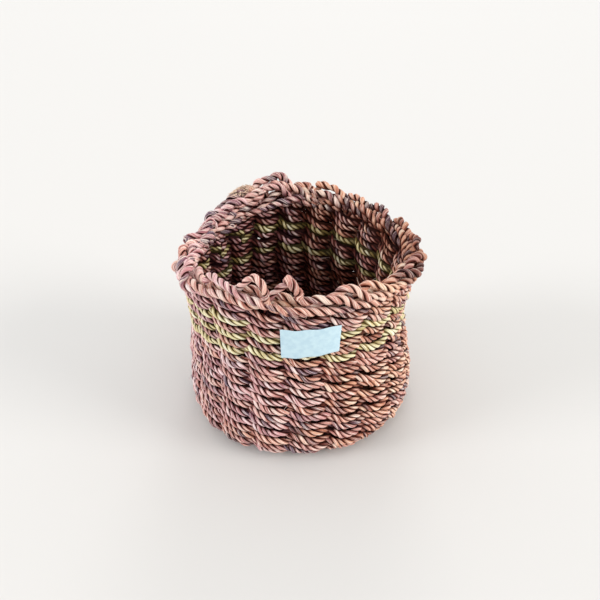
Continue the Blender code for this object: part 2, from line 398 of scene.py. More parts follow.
# A rope's dark core of painted shade, which shows in the gaps between plies and rows, in rope radii, and how
# much taller it is where the rope runs behind others
CORE_SIDES = 6
CORE_DEPTH = 0.36
CORE_HEIGHT = 0.60
HIDDEN_CORE = 1.25
CORE_TONE = 0.3

# Distance over which the twist, the dye and the thickness of a rope change
TWIST_SPACING = 0.024
HUE_SPACING = 0.050
THICK_SPACING = 0.009
DYE_SPACING = 0.014
PATCH_SPACING = 0.060
# How much finer than in metres the fibre noise runs along a ply, and how far plies start apart in it
FIBRE_STRETCH = 1.3
FIBRE_SHIFT = 50.0

# Hue is 0 for warm and 1 for pink dye, and tone is 0 for dark and 1 for pale dye; on the border tone also
# holds painted shade
HUE_MIDDLE = 0.44
HUE_LEFTWARD = 0.46
HUE_WANDER = 0.50
BORDER_HUE = -0.10
TONE_MIDDLE = 0.53
TONE_DYE = 0.36
TONE_PATCH = 0.32
TONE_SPREAD = 0.08
BORDER_TONE = -0.04
# Painted shade: the border's tone is lowered towards the back and the right, where the lamps light its top
# more
BORDER_SHADE_BACK = -0.05
BORDER_SHADE_RIGHT = -0.03

# Crest is 1 on a ply's outer side, which gets a painted highlight, and less with painted shade in its
# grooves, deep in the wall and inside
SHADE_DEPTH = 0.0062
SHADE_START = 0.25
SHADED_CREST = 0.56
INSIDE_SHADE = 0.11
INSIDE_SHADE_LOW = 0.13
INSIDE_LOW_HEIGHT = 0.12
# The border's crests, scaled down towards the right: painted shade where the lamps light the border more
BORDER_CREST = 1.02
BORDER_CREST_RIGHT = -0.25

# Loose fibres: how many, and how far each runs ahead, lifts and curls (the curl's waves in radians)
FRAYS_PER_METRE = 22.0
FRAY_LENGTH = 0.0095
FRAY_RADIUS = 0.00024
FRAY_AHEAD = 0.8
FRAY_LIFT = 0.35
FRAY_CURL = 0.0003
FRAY_CURL_WAVES = (5.0, 9.0)
FRAY_SHARES = (0.5, 1.0)
FRAY_TAPER = (1.05, 0.15)
FRAY_TONES = (0.65, 1.0)
FRAY_ROOT = 0.8
FRAY_FROM_END = 3
FRAY_RINGS = 8
FRAY_SIDES = 3
FRAY_CEILING = 0.1755


def colours_along(centre, distance, in_border, rng):
    """Hue, tone and crest shading of a rope: pinker on the left, painted shade on the border's right and
    back.
    """
    wander = smooth_noise(rng, distance[-1], HUE_SPACING)
    hue = HUE_MIDDLE - HUE_LEFTWARD * centre[:, 0] / WAIST_RADIUS + HUE_WANDER * wander(distance)
    tone = np.full(len(distance), TONE_MIDDLE)
    crest_shading = np.ones((len(distance), 1))
    if in_border:
        hue = hue + BORDER_HUE
        # Painted shade on the border: darker at the back and the right, where the lamps light it more
        shift = BORDER_SHADE_BACK * centre[:, 1] + BORDER_SHADE_RIGHT * centre[:, 0]
        tone = tone + BORDER_TONE + shift / MOUTH_RADIUS
        crest_shading = BORDER_CREST + BORDER_CREST_RIGHT * np.clip(centre[:, :1] / MOUTH_RADIUS, 0.0, 1.0)
    return hue, tone, crest_shading


def painted_shade_factor(out, height):
    """Painted shade on a rope's surface, as a factor by how far it stands out of the wall: darkest deep in
    it, darker inside, most low down inside.
    """
    open_air = np.clip((np.abs(out) / SHADE_DEPTH - SHADE_START) / (1.0 - SHADE_START), 0.0, 1.0)
    less = INSIDE_SHADE + INSIDE_SHADE_LOW * np.clip(1.0 - height / INSIDE_LOW_HEIGHT, 0.0, 1.0)
    return (SHADED_CREST + (1.0 - SHADED_CREST) * open_air) * (1.0 - (out < 0.0) * less)


def lay_rope(strands, points, guide, radius, depth, hidden, rng, in_border=False):
    """Plies twisted along a path, round a dark core of painted shade that closes the gaps between them.

    The guide points out of the wall and depth is how far out the path lies. Hidden is 1 where the
    rope runs behind others, so that its dark core of painted shade has to be tall enough to close the wall.
    """
    step = RING_STEP
    centre, distance, guide, radius, depth, hidden = resample(points, step, guide, radius, depth, hidden)
    tangent = unit(np.gradient(centre, axis=0))
    normal = unit(guide - (guide * tangent).sum(-1, keepdims=True) * tangent)
    binormal = np.cross(tangent, normal)
    length = distance[-1]
    wander = smooth_noise(rng, length, TWIST_SPACING)
    lay = BORDER_LAY if in_border else WEFT_LAY
    start = rng.uniform(0.0, 2.0 * math.pi)
    twist = start + 2.0 * math.pi * distance / lay + TWIST_WANDER * wander(distance)
    ends = np.clip(np.minimum(distance, length - distance) / (END_LENGTH * radius.mean()), END_SIZE, 1.0)
    size = radius * np.sqrt(ends * (2.0 - ends))
    hue, base_tone, crest_shading = colours_along(centre, distance, in_border, rng)
    plies, middle, half_depth, half_width = BORDER_PLIES if in_border else WEFT_PLIES
    side = math.pi + 2.0 * math.pi * np.arange(PLY_SIDES) / PLY_SIDES
    reach = middle + half_depth * np.cos(side)
    spread = half_width * np.sin(side)
    for ply in range(plies):
        thick = smooth_noise(rng, length, THICK_SPACING)
        dye = smooth_noise(rng, length, DYE_SPACING)
        patch = smooth_noise(rng, length, PATCH_SPACING)
        ply_size = (size * (1.0 + PLY_SWELL * thick(distance)))[:, None]
        turn = twist + 2.0 * math.pi * ply / plies
        outward = np.cos(turn)[:, None] * normal + np.sin(turn)[:, None] * binormal
        sideways = -np.sin(turn)[:, None] * normal + np.cos(turn)[:, None] * binormal
        rings = rings_round(outward, ply_size * reach, sideways, ply_size * spread)
        out = depth[:, None] + (rings * guide[:, None, :]).sum(-1)
        # Painted highlight on each ply's outer side, painted shade on its hidden side, deep in the wall and
        # inside
        crest = np.hypot(reach, spread)[None, :] * painted_shade_factor(out, centre[:, 2:]) * crest_shading
        tone = base_tone + TONE_DYE * dye(distance) + TONE_PATCH * patch(distance)
        tone = tone + rng.uniform(-TONE_SPREAD, TONE_SPREAD)
        strands.add_ply(centre[:, None, :] + rings, distance * FIBRE_STRETCH, crest, tone, hue,
                        rng.uniform(0.0, FIBRE_SHIFT))
    add_shade_core(strands, centre, normal, binormal, distance, size, hidden, hue)
    fray(strands, centre, tangent, radius, hue, int(length * FRAYS_PER_METRE), rng)


# Painted shade: a dark core inside the plies that shows through the gaps between them and between rows
def add_shade_core(strands, centre, normal, binormal, distance, size, hidden, hue):
    side = 2.0 * math.pi * np.arange(CORE_SIDES) / CORE_SIDES
    reach = CORE_DEPTH * size[:, None] * np.cos(side)
    spread = (size * (CORE_HEIGHT + HIDDEN_CORE * hidden))[:, None] * np.sin(side)
    rings = rings_round(normal, reach, binormal, spread)
    tone = np.full(len(distance), CORE_TONE)
    strands.add_ply(centre[:, None, :] + rings, distance, np.zeros((1, CORE_SIDES)), tone, hue, 0.0)


def fray(strands, centre, tangent, radius, hue, count, rng, size=FRAY_LENGTH, thickness=FRAY_RADIUS,
         curl=FRAY_CURL, paler=0.0, lift=FRAY_LIFT):
    """Loose fibres that leave the rope and curl away from it."""
    share = np.linspace(0.0, 1.0, FRAY_RINGS)
    corner = 2.0 * math.pi * np.arange(FRAY_SIDES) / FRAY_SIDES
    thin = (thickness * np.linspace(*FRAY_TAPER, FRAY_RINGS))[:, None]
    for _ in range(count):
        at = rng.integers(FRAY_FROM_END, len(centre) - FRAY_FROM_END)
        out = unit(rng.normal(size=3))
        out = unit(out - (out * tangent[at]).sum() * tangent[at])
        bend = unit(rng.normal(size=3))
        length = rng.uniform(*FRAY_SHARES) * size
        ahead = tangent[at] * rng.choice([-1.0, 1.0])
        start = centre[at] + FRAY_ROOT * radius[at] * out
        run = share[:, None] * (FRAY_AHEAD * ahead + lift * out) + share[:, None] ** 2 * lift * bend
        path = start + length * run
        path = path + curl * np.sin(share * rng.uniform(*FRAY_CURL_WAVES))[:, None] * bend
        path[:, 2] = np.clip(path[:, 2], 2.0 * FRAY_RADIUS, FRAY_CEILING)
        way = unit(np.gradient(path, axis=0))
        side = unit(np.cross(way, out))
        rings = rings_round(side, thin * np.cos(corner), np.cross(way, side), thin * np.sin(corner))
        tone = np.full(FRAY_RINGS, rng.uniform(*FRAY_TONES) + paler)
        # Loose fibres count as crest all over, so they take the painted highlight and no painted shade
        strands.add_ply(path[:, None, :] + rings, length * share, np.ones((1, FRAY_SIDES)), tone,
                        np.full(FRAY_RINGS, hue[at]), rng.uniform(0.0, FIBRE_SHIFT))


# Colours, each tone's place on its ramp first
WARM_TONES = (
    (0.05, (0.12, 0.04, 0.05)),
    (0.25, (0.38, 0.12, 0.08)),
    (0.50, (0.74, 0.31, 0.18)),
    (0.75, (0.94, 0.53, 0.33)),
    (0.95, (0.99, 0.76, 0.55)),
)
PINK_TONES = (
    (0.05, (0.12, 0.06, 0.13)),
    (0.25, (0.36, 0.14, 0.19)),
    (0.50, (0.71, 0.33, 0.35)),
    (0.75, (0.92, 0.57, 0.60)),
    (0.95, (0.99, 0.82, 0.85)),
)
YELLOW_TONES = (
    (0.05, (0.62, 0.48, 0.20)),
    (0.35, (0.88, 0.77, 0.38)),
    (0.65, (0.97, 0.89, 0.54)),
    (0.95, (0.99, 0.95, 0.72)),
)
PAPER_TONES = ((0.35, (0.50, 0.69, 0.79)), (0.62, (0.58, 0.77, 0.85)))
# Dark colours for the fibre streaks and the painted shade in the grooves, pale ones for the painted
# highlights on the crests
PINK_DARK = (0.45, 0.20, 0.16)
PINK_HIGHLIGHT = (0.99, 0.83, 0.75)
WARM_HIGHLIGHT = (0.99, 0.82, 0.70)
YELLOW_DARK = (0.50, 0.38, 0.18)
YELLOW_HIGHLIGHT = (0.99, 0.96, 0.80)
BLACK = (0.0, 0.0, 0.0)
WHITE = (1.0, 1.0, 1.0)

# Noise of the fibres: how fine along a ply and across it, and its detail and roughness
STREAK_NOISE = (80.0, 11.0, 4.0)
FINE_NOISE = (160.0, 26.0, 3.0)
BLOTCH_NOISE = (60.0, 2.0, 2.0)
FIBRE_ROUGHNESS = 0.6
BLOTCH_DEPTH = 0.9
# The noise between which streaks go from dark to plain, and from plain to pale
STREAK_DARK = (0.36, 0.52)
STREAK_PALE = (0.48, 0.62)
STREAK_DEPTH = 0.66
# Painted shade in the grooves: its colour at three crests, as shares of the dark colour and then white
GROOVE_CRESTS = (0.38, 0.64, 0.84)
GROOVE_SHARES = (0.07, 0.55)
GROOVE_DEPTH = 0.97
# Limits of the roughness and of the gloss, and the crests between which the gloss grows
ROPE_ROUGHNESS = (0.38, 0.68)
CREST_GLOSS = (0.04, 0.55)
GLOSS_CRESTS = (0.50, 0.90)
# Strength and depth of the bumps, and how much of their height is fine noise
ROPE_BUMP = (0.9, 0.0007)
FINE_SHARE = 0.5
# Paper: roughness, noise's scale and detail, strength and depth of the bumps
PAPER_ROUGHNESS = 0.6
PAPER_NOISE = (260.0, 5.0)
PAPER_BUMP = (0.25, 0.0003)


class Nodes:
    """Builds a material's nodes, each step giving the socket that the next one reads."""

    def __init__(self, name):
        self.material = bpy.data.materials.new(name)
        self.material.use_nodes = True
        self.nodes = self.material.node_tree.nodes
        self.links = self.material.node_tree.links
        self.shader = self.nodes["Principled BSDF"]

    def feed(self, socket, value):
        """Set a socket to a number or a colour, or link it to another socket."""
        if isinstance(value, float):
            socket.default_value = value
        elif isinstance(value, tuple):
            socket.default_value = (*value, 1.0)
        else:
            self.links.new(value, socket)

    def calculate(self, kind, first, second):
        node = self.nodes.new("ShaderNodeMath")
        node.operation = kind
        node.use_clamp = kind == "ADD"
        self.feed(node.inputs[0], first)
        self.feed(node.inputs[1], second)
        return node.outputs[0]

    def mix(self, share, first, second, blend="MIX"):
        node = self.nodes.new("ShaderNodeMix")
        node.data_type = "RGBA"
        node.blend_type = blend
        self.feed(node.inputs["Factor"], share)
        self.feed(node.inputs["A"], first)
        self.feed(node.inputs["B"], second)
        return node.outputs["Result"]

    def ramp(self, stops, value):
        node = self.nodes.new("ShaderNodeValToRGB")
        elements = node.color_ramp.elements
        while len(elements) < len(stops):
            elements.new(0.5)
        for element, (position, colour) in zip(elements, stops):
            element.position = position
            element.color = (*colour, 1.0)
        self.feed(node.inputs["Fac"], value)
        return node.outputs["Color"]

    def remap(self, value, low, high, start=0.0, end=1.0):
        """A value from start to end becomes one from low to high."""
        node = self.nodes.new("ShaderNodeMapRange")
        for title, number in (("From Min", start), ("From Max", end), ("To Min", low), ("To Max", high)):
            node.inputs[title].default_value = number
        self.feed(node.inputs["Value"], value)
        return node.outputs["Result"]

    def place_on_map(self, title):
        node = self.nodes.new("ShaderNodeUVMap")
        node.uv_map = title
        return node.outputs["UV"]

    def place_on_object(self):
        node = self.nodes.new("ShaderNodeTexCoord")
        return node.outputs["Object"]

    def attribute(self, title):
        node = self.nodes.new("ShaderNodeAttribute")
        node.attribute_name = title
        return node.outputs["Fac"]

    def noise(self, where, scale, detail, roughness=0.5):
        node = self.nodes.new("ShaderNodeTexNoise")
        node.inputs["Scale"].default_value = scale
        node.inputs["Detail"].default_value = detail
        node.inputs["Roughness"].default_value = roughness
        self.feed(node.inputs["Vector"], where)
        return node.outputs["Fac"]

    def fibre_noise(self, where, along_scale, across_scale, detail):
        mapping = self.nodes.new("ShaderNodeMapping")
        mapping.inputs["Scale"].default_value = (along_scale, across_scale, 1.0)
        self.feed(mapping.inputs["Vector"], where)
        return self.noise(mapping.outputs["Vector"], 1.0, detail, FIBRE_ROUGHNESS)

    def bump(self, height, strength, distance):
        node = self.nodes.new("ShaderNodeBump")
        node.inputs["Strength"].default_value = strength
        node.inputs["Distance"].default_value = distance
        self.feed(node.inputs["Height"], height)
        self.feed(self.shader.inputs["Normal"], node.outputs["Normal"])


def rope_material(name, warm, pink, dark, pale):
    """Dyed fibre: dye that varies along each ply, fine streaks, painted highlights on the crests and painted
    shade in the grooves.
    """
    nodes = Nodes(name)
    where = nodes.place_on_map("FibreMap")
    crest = nodes.attribute("crest")
    streak = nodes.fibre_noise(where, *STREAK_NOISE)
    fine = nodes.fibre_noise(where, *FINE_NOISE)
    blotch = nodes.calculate("SUBTRACT", nodes.fibre_noise(where, *BLOTCH_NOISE), 0.5)
    tone = nodes.calculate("ADD", nodes.attribute("tone"), nodes.calculate("MULTIPLY", blotch, BLOTCH_DEPTH))
    colour = nodes.mix(nodes.attribute("hue"), nodes.ramp(warm, tone), nodes.ramp(pink, tone))
    streaks = nodes.ramp(tuple(zip(STREAK_DARK, (dark, WHITE))), streak)
    colour = nodes.mix(STREAK_DEPTH, colour, streaks, "MULTIPLY")
    # Painted highlight: pale fibre streaks, strongest on the crests and gone where painted shade falls
    lit = nodes.ramp(tuple(zip(STREAK_PALE, (BLACK, WHITE))), streak)
    painted_highlight = nodes.calculate("MULTIPLY", lit, nodes.calculate("MULTIPLY", crest, crest))
    colour = nodes.mix(painted_highlight, colour, pale)
    # Painted shade: darker in the grooves, on the plies' hidden sides, deep in the wall, inside and on the
    # core
    grooves = [tuple(share * part for part in dark) for share in GROOVE_SHARES] + [WHITE]
    groove = nodes.ramp(tuple(zip(GROOVE_CRESTS, grooves)), crest)
    colour = nodes.mix(GROOVE_DEPTH, colour, groove, "MULTIPLY")
    nodes.feed(nodes.shader.inputs["Base Color"], colour)
    nodes.feed(nodes.shader.inputs["Roughness"], nodes.remap(fine, *ROPE_ROUGHNESS))
    nodes.feed(nodes.shader.inputs["Specular IOR Level"], nodes.remap(crest, *CREST_GLOSS, *GLOSS_CRESTS))
    nodes.bump(nodes.mix(FINE_SHARE, streak, fine), *ROPE_BUMP)
    return nodes.material


def paper_material():
    nodes = Nodes("paper")
    nodes.feed(nodes.shader.inputs["Roughness"], PAPER_ROUGHNESS)
    fibre = nodes.noise(nodes.place_on_object(), *PAPER_NOISE)
    nodes.feed(nodes.shader.inputs["Base Color"], nodes.ramp(PAPER_TONES, fibre))
    nodes.bump(fibre, *PAPER_BUMP)
    return nodes.material


# Weft: how far a strand swings out of and into the wall, shifts at a crossing and sags at a stake
WEFT_STEP = 0.04
LAST_STEP = 0.001
WEFT_OFFSET = 0.0036
SWING_FLATNESS = 0.45
CROSSING_OUT = 0.0016
CROSSING_RISE = 0.0026
STITCH_SAG = 0.0030
SAG_LEAN = 0.5
# Hand-made irregularity of the stitches, and the half steps over which it changes
OFFSET_WANDER = 0.0008
DRIFT_WANDER = 0.0009
THICKNESS_WANDER = 0.08
SLIDE_WANDER = 0.12
STITCH_SPACING = 2.0
SLIDE_SPACING = 1.6
# The first courses lie in the bend of the foot, where the strands are thinner on the inside
CROWDED_COURSES = 3.6
CROWDED_BLEND = 0.8
CROWDED_THINNER = 0.45
# Where a strand swings in it runs behind others, fully so above the foot's first courses
BEHIND_MIDDLE = 0.7
BEHIND_SLOPE = 1.2
BEHIND_FROM = 1.0
BEHIND_BLEND = 2.0
# How far courses are pushed down so that they lie evenly round the foot
PUSHED_DOWN = (
    (0.0, 0.0), (1.0, 0.0014), (2.0, 0.0031), (3.0, 0.0048), (4.0, 0.0043), (5.0, 0.0037),
    (6.0, 0.0032), (8.0, 0.0023), (10.0, 0.0017), (14.0, 0.0008), (17.0, 0.0),
)


def weft(strands, partner, rounds, rng, last_round):
    """One strand of a twined pair: outside one stake, inside the next, crossing its partner between."""
    lead = 0 if partner else 2
    first, last = (4 * round(part * HALF_STEPS_PER_ROUND / 4) + lead for part in rounds)
    if last_round:
        last -= 4
    step = np.arange(first, last + LAST_STEP, WEFT_STEP)
    phase = (step + lead + 2) * math.pi / 2.0
    swing = np.cos(phase)
    crossing = np.sin(phase)
    half_steps = last - first + 1.0
    offset_noise = smooth_noise(rng, half_steps, STITCH_SPACING)
    drift_noise = smooth_noise(rng, half_steps, STITCH_SPACING)
    thickness_noise = smooth_noise(rng, half_steps, STITCH_SPACING)
    slide_noise = smooth_noise(rng, half_steps, SLIDE_SPACING)
    at = step - first
    offset = WEFT_OFFSET * swing * (1.0 + SWING_FLATNESS - SWING_FLATNESS * swing ** 2)
    offset = offset + OFFSET_WANDER * offset_noise(at) + CROSSING_OUT * crossing ** 2
    course = step / HALF_STEPS_PER_ROUND
    distance = course * COURSE_PITCH - np.interp(course, *zip(*PUSHED_DOWN))
    sag = STITCH_SAG * swing ** 2 * (1.0 - SAG_LEAN * crossing)
    distance = distance - CROSSING_RISE * crossing - sag + DRIFT_WANDER * drift_noise(at)
    turn = step * STAKE_ANGLE / 2.0 + STAKE_ANGLE * SLIDE_WANDER * slide_noise(at)
    points = weave_points(turn, distance, offset)
    crowded = np.clip((CROWDED_COURSES - course) / CROWDED_BLEND, 0.0, 1.0) * np.clip(-swing, 0.0, 1.0)
    radius = WEFT_RADIUS * (1.0 + THICKNESS_WANDER * thickness_noise(at))
    radius = radius * (1.0 - CROWDED_THINNER * crowded) * row_stretch(points)
    behind = np.clip(BEHIND_MIDDLE - BEHIND_SLOPE * swing, 0.0, 1.0)
    hidden = behind * np.clip((course - BEHIND_FROM) / BEHIND_BLEND, 0.0, 1.0)
    lay_rope(strands, settle(points), weave_normals(turn, distance), radius, offset, hidden, rng)


# Floor
FLOOR_START = 0.0255
FLOOR_END = 0.0885
FLOOR_PITCH = 0.0052
FLOOR_SWING = 0.0050
FLOOR_STEP = 0.02


def floor_weft(strands, partner, rng):
    """One of two strands that wind outwards over and under the spread stakes."""
    rounds = (FLOOR_END - FLOOR_START - FLOOR_PITCH) / (2.0 * FLOOR_PITCH)
    step = np.arange(0.0, int(rounds * STAKE_COUNT) + LAST_STEP, FLOOR_STEP)
    shift = 1.0 if partner else 0.0
    same = np.ones_like(step)
    radius = FLOOR_START + 2.0 * FLOOR_PITCH * step / STAKE_COUNT + FLOOR_PITCH * shift
    height = BASE_LEVEL + FLOOR_SWING * np.cos(math.pi * (step + shift))
    points = settle(place(step * STAKE_ANGLE, radius, height))
    guide = place(step * STAKE_ANGLE, 0.0 * same, -same)
    lay_rope(strands, points, guide, WEFT_RADIUS * same, SHADE_DEPTH * same, 0.0 * same, rng)


# Each stake's way along the rim: pitches from its own place, laps outwards, share of the border's height
BORDER_WAY = (
    (0.02, 0.00, 0.02),
    (0.20, 0.05, 0.60),
    (0.45, 0.25, 0.98),
    (0.78, 0.70, 1.02),
    (1.06, 1.10, 0.80),
    (1.38, 1.25, 0.50),
    (2.00, 1.20, 0.28),
    (2.65, 1.05, 0.06),
    (3.05, 0.20, 0.10),
    (3.35, -0.75, 0.30),
    (3.80, -0.70, 0.58),
    (4.35, -0.50, 0.76),
    (4.90, -0.60, 0.66),
    (5.40, -1.00, 0.38),
    (5.90, -1.45, 0.06),
    (6.45, -1.75, -0.22),
    (7.05, -1.80, -0.34),
    (7.50, -1.80, -0.26),
)
BORDER_LAP = 0.0056

# Some stakes stand up as loops, which take the place of these bends of the way
LOOP_FIRST = 2
LOOP_LAST = 6
LOOP_WAYS = {
    10: ((0.55, 0.30, 0.96), (0.85, 0.55, 1.00), (1.15, 0.80, 0.97), (1.45, 1.00, 0.66), (1.80, 1.10, 0.45)),
    13: ((0.40, 0.25, 0.96), (0.66, 0.80, 1.04), (0.90, 1.30, 0.84), (1.04, 1.45, 0.44), (1.40, 1.20, 0.20)),
    14: ((0.30, 0.30, 0.92), (0.52, 0.90, 1.04), (0.76, 1.45, 0.84), (0.88, 1.60, 0.42), (1.25, 1.30, 0.16)),
    15: ((0.44, 0.30, 0.94), (0.70, 0.90, 1.03), (0.92, 1.45, 0.78), (1.02, 1.60, 0.40), (1.40, 1.30, 0.16)),
    16: ((0.34, 0.25, 0.96), (0.56, 0.70, 1.05), (0.80, 1.20, 0.80), (0.92, 1.35, 0.36), (1.30, 1.20, 0.14)),
    18: ((0.45, 0.25, 1.00), (0.72, 0.60, 1.06), (0.95, 0.95, 0.80), (1.05, 1.15, 0.30), (1.40, 1.10, 0.12)),
    19: ((0.34, 0.35, 1.04), (0.50, 0.60, 1.08), (0.66, 0.85, 0.96), (0.84, 0.95, 0.76), (1.50, 1.05, 0.86)),
}

# Past these pitches a stake's tail runs inside, and it lies lower at some turns
TAIL_START = 3.2
TAIL_DROP = ((-90.0, 0.0), (-50.0, 0.30), (0.0, 0.45), (50.0, 0.30), (90.0, 0.0))
# Past these pitches it is tucked away between the border's ropes, where the second value is 1
TUCK_START = 4.6
TUCKED = (
    (-180.0, 0.4), (-150.0, 0.0), (-130.0, 0.2), (-110.0, 0.6), (-64.0, 0.6), (-40.0, 0.2),
    (-20.0, 0.0), (40.0, 0.0), (65.0, 1.0), (150.0, 1.0), (180.0, 0.4),
)
TUCKED_LAPS = 0.30
TUCKED_RISE = ((4.6, 0.66), (7.5, -0.34))
# How knotty the border is, and how far each bend strays in an even and in a knotty stretch
KNOTS = (
    (-180.0, 0.3), (-135.0, 0.3), (-112.0, 1.0), (-62.0, 1.0), (-45.0, 0.1), (-10.0, 0.0),
    (150.0, 0.0), (180.0, 0.3),
)
STRAY_PITCHES = 0.10
STRAY_LAPS = (0.26, 0.60)
STRAY_RISE = (0.15, 0.35)
STRAY_UP = 0.5
STRAYS_AFTER = 0.1
# The last row steps down within so many stakes, and its edge counts this share of its radius and sag
STEP_DOWN = 1.5
EDGE_SHARE = 0.8


def border_base(turn):
    """Height of the last row's upper edge: it climbs one course in its round and steps down at the end."""
    share = (turn / (2.0 * math.pi)) % 1.0
    step = STEP_DOWN / STAKE_COUNT
    climb = share if share < 1.0 - step else (1.0 - step) * (1.0 - share) / step
    return TOP_COURSE - COURSE_PITCH * (1.0 - climb) + EDGE_SHARE * (WEFT_RADIUS - STITCH_SAG)


def border_points(number, rng):
    """The bends of one stake in the border, before the basket settles."""
    points = []
    way = BORDER_WAY
    if number % STAKE_COUNT in LOOP_WAYS:
        way = BORDER_WAY[:LOOP_FIRST] + LOOP_WAYS[number % STAKE_COUNT] + BORDER_WAY[LOOP_LAST:]
    for share, laps, rise in way:
        if share > STRAYS_AFTER:
            share += STRAY_PITCHES * rng.uniform(-1.0, 1.0)
        turn = (number + share) * STAKE_ANGLE
        degrees = (math.degrees(turn + FIRST_STAKE_TURN) + 180.0) % 360.0 - 180.0
        knots = at_degrees(degrees, KNOTS)
        laps += (STRAY_LAPS[0] + STRAY_LAPS[1] * knots) * rng.uniform(-1.0, 1.0)
        if share > STRAYS_AFTER:
            rise += (STRAY_RISE[0] + STRAY_RISE[1] * knots) * rng.uniform(-1.0, STRAY_UP)
        if share > TAIL_START:
            rise -= at_degrees(degrees, TAIL_DROP)
        if share > TUCK_START:
            tucked = at_degrees(degrees, TUCKED)
            laps += (TUCKED_LAPS - laps) * tucked
            rise += (float(np.interp(share, *zip(*TUCKED_RISE))) - rise) * tucked
        low = border_base(turn) + BORDER_RADIUS
        high = RIM_CURVE(degrees) - BORDER_RADIUS - ROW_CURVE(degrees)
        points.append(place(turn, MOUTH_RADIUS + laps * BORDER_LAP, low + rise * (high - low)))
    return np.array(points)


# Stakes: the mat where they cross under the floor, and their run up the wall
MAT_SPACING = 0.0095
MAT_RISE = 0.0027
MAT_ROPE_RADIUS = 0.0040
MAT_EDGE = 0.0080
FAN_RADIUS = 0.0360
WALL_POINTS = 60
END_BELOW_BORDER = 0.004
CURVE_STEPS = 6
# In the border a stake wanders, swells and shrinks, and is thicker at the back than in front
RIM_BLEND = 1.5
BORDER_WANDER = 0.0011
BORDER_WANDER_SPACING = 0.8
BORDER_SWELL = 0.10
BORDER_THICKER = 1.02
BORDER_THICKER_BACK = 0.11
TAIL_BENDS = 6.0
TAIL_BLEND = 2.0
TAIL_CORE = 0.12
# A stake's guide points away from a place at this height and this share of its distance from the axis
GUIDE_HEIGHT = 0.07
GUIDE_SHARE = 0.6

# Stake ends that have come loose into a tuft of pale fibres, and how many
TUFTS = {11: 120}
TUFT_FIRST = 1
TUFT_LAST = 5
TUFT_STEPS = 8
TUFT_THICKER = 1.3
TUFT_LENGTH = 0.0090
TUFT_FIBRE = 0.00065
TUFT_PALER = 0.40
TUFT_CURL = 0.0014
TUFT_LIFT = 0.10


def mat_crossings(across, row, lean):
    """Where a stake passes over and under the five stakes that run the other way."""
    points = []
    for column in range(STAKES_PER_SIDE):
        ahead = (column - (STAKES_PER_SIDE - 1) / 2.0) * MAT_SPACING
        aside = lean * MAT_SPACING
        turn = math.atan2(ahead, aside) if across else math.atan2(aside, ahead)
        rises = (row + column) % 2 == (1 if across else 0)
        height = BASE_LEVEL + (MAT_RISE if rises else -MAT_RISE)
        points.append(place(turn, math.hypot(ahead, aside), height))
    return np.array(points)


def stake_half(number, rng):
    """Half of a stake: its bends from the floor mat up the wall, and those in the border."""
    end = distance_at_height(border_base(number * STAKE_ANGLE) - END_BELOW_BORDER)
    distance = np.concatenate([[FAN_RADIUS - BEND_START], np.linspace(0.0, end, WALL_POINTS)])
    radius, height, _, _ = on_stake_line(distance)
    wall = place(np.full(len(distance), number * STAKE_ANGLE), radius, height)
    return wall, border_points(number, rng)


def long_stake(strands, number, rng):
    """A stake that crosses the floor; the first five run one way and the others across them."""
    across = number >= STAKES_PER_SIDE
    row = number % STAKES_PER_SIDE
    lean = row - (STAKES_PER_SIDE - 1) / 2.0
    near_end = int(3 * STAKES_PER_SIDE + lean if across else 2 * STAKES_PER_SIDE - lean)
    far_end = int(STAKES_PER_SIDE - lean if across else lean)
    near, near_rim = stake_half(near_end, rng)
    far, far_rim = stake_half(far_end, rng)
    bends = [near_rim[::-1], near[::-1], mat_crossings(across, row, lean), far, far_rim]
    points = curve_through(np.vstack(bends), CURVE_STEPS)
    step = np.arange(len(points)) / CURVE_STEPS
    rim_bend = np.maximum(len(near_rim) - step, step - (step[-1] - len(far_rim)))
    in_rim = np.clip(rim_bend / RIM_BLEND, 0.0, 1.0)
    for axis in range(3):
        wander = smooth_noise(rng, step[-1] + 1.0, BORDER_WANDER_SPACING)
        points[:, axis] += BORDER_WANDER * in_rim * wander(step)
    back = BORDER_THICKER + BORDER_THICKER_BACK * np.clip(points[:, 1] / MOUTH_RADIUS, -1.0, 1.0)
    swell = 1.0 + BORDER_SWELL * smooth_noise(rng, step[-1] + 1.0, 1.0)(step)
    in_mat = np.clip((FAN_RADIUS - np.hypot(points[:, 0], points[:, 1])) / MAT_EDGE, 0.0, 1.0)
    radius = STAKE_RADIUS + (BORDER_RADIUS * back * swell - STAKE_RADIUS) * in_rim
    radius = radius + (MAT_ROPE_RADIUS - STAKE_RADIUS) * in_mat
    away_from = points * np.array([GUIDE_SHARE, GUIDE_SHARE, 0.0]) + np.array([0.0, 0.0, GUIDE_HEIGHT])
    guide = unit(points - away_from)
    hidden = TAIL_CORE * np.clip((rim_bend - TAIL_BENDS) / TAIL_BLEND, 0.0, 1.0)
    lay_rope(strands, settle(points), guide, radius, SHADE_DEPTH * in_rim, hidden, rng, in_border=True)
    for end, rim in ((near_end, near_rim), (far_end, far_rim)):
        if end in TUFTS:
            add_tuft(strands, rim, TUFTS[end], rng)


def add_tuft(strands, rim, count, rng):
    path = settle(curve_through(rim[TUFT_FIRST:TUFT_LAST], TUFT_STEPS))
    way = unit(np.gradient(path, axis=0))
    radius = np.full(len(path), TUFT_THICKER * BORDER_RADIUS)
    hue = np.zeros(len(path))
    fray(strands, path, way, radius, hue, count, rng, size=TUFT_LENGTH, thickness=TUFT_FIBRE,
         curl=TUFT_CURL, paler=TUFT_PALER, lift=TUFT_LIFT)


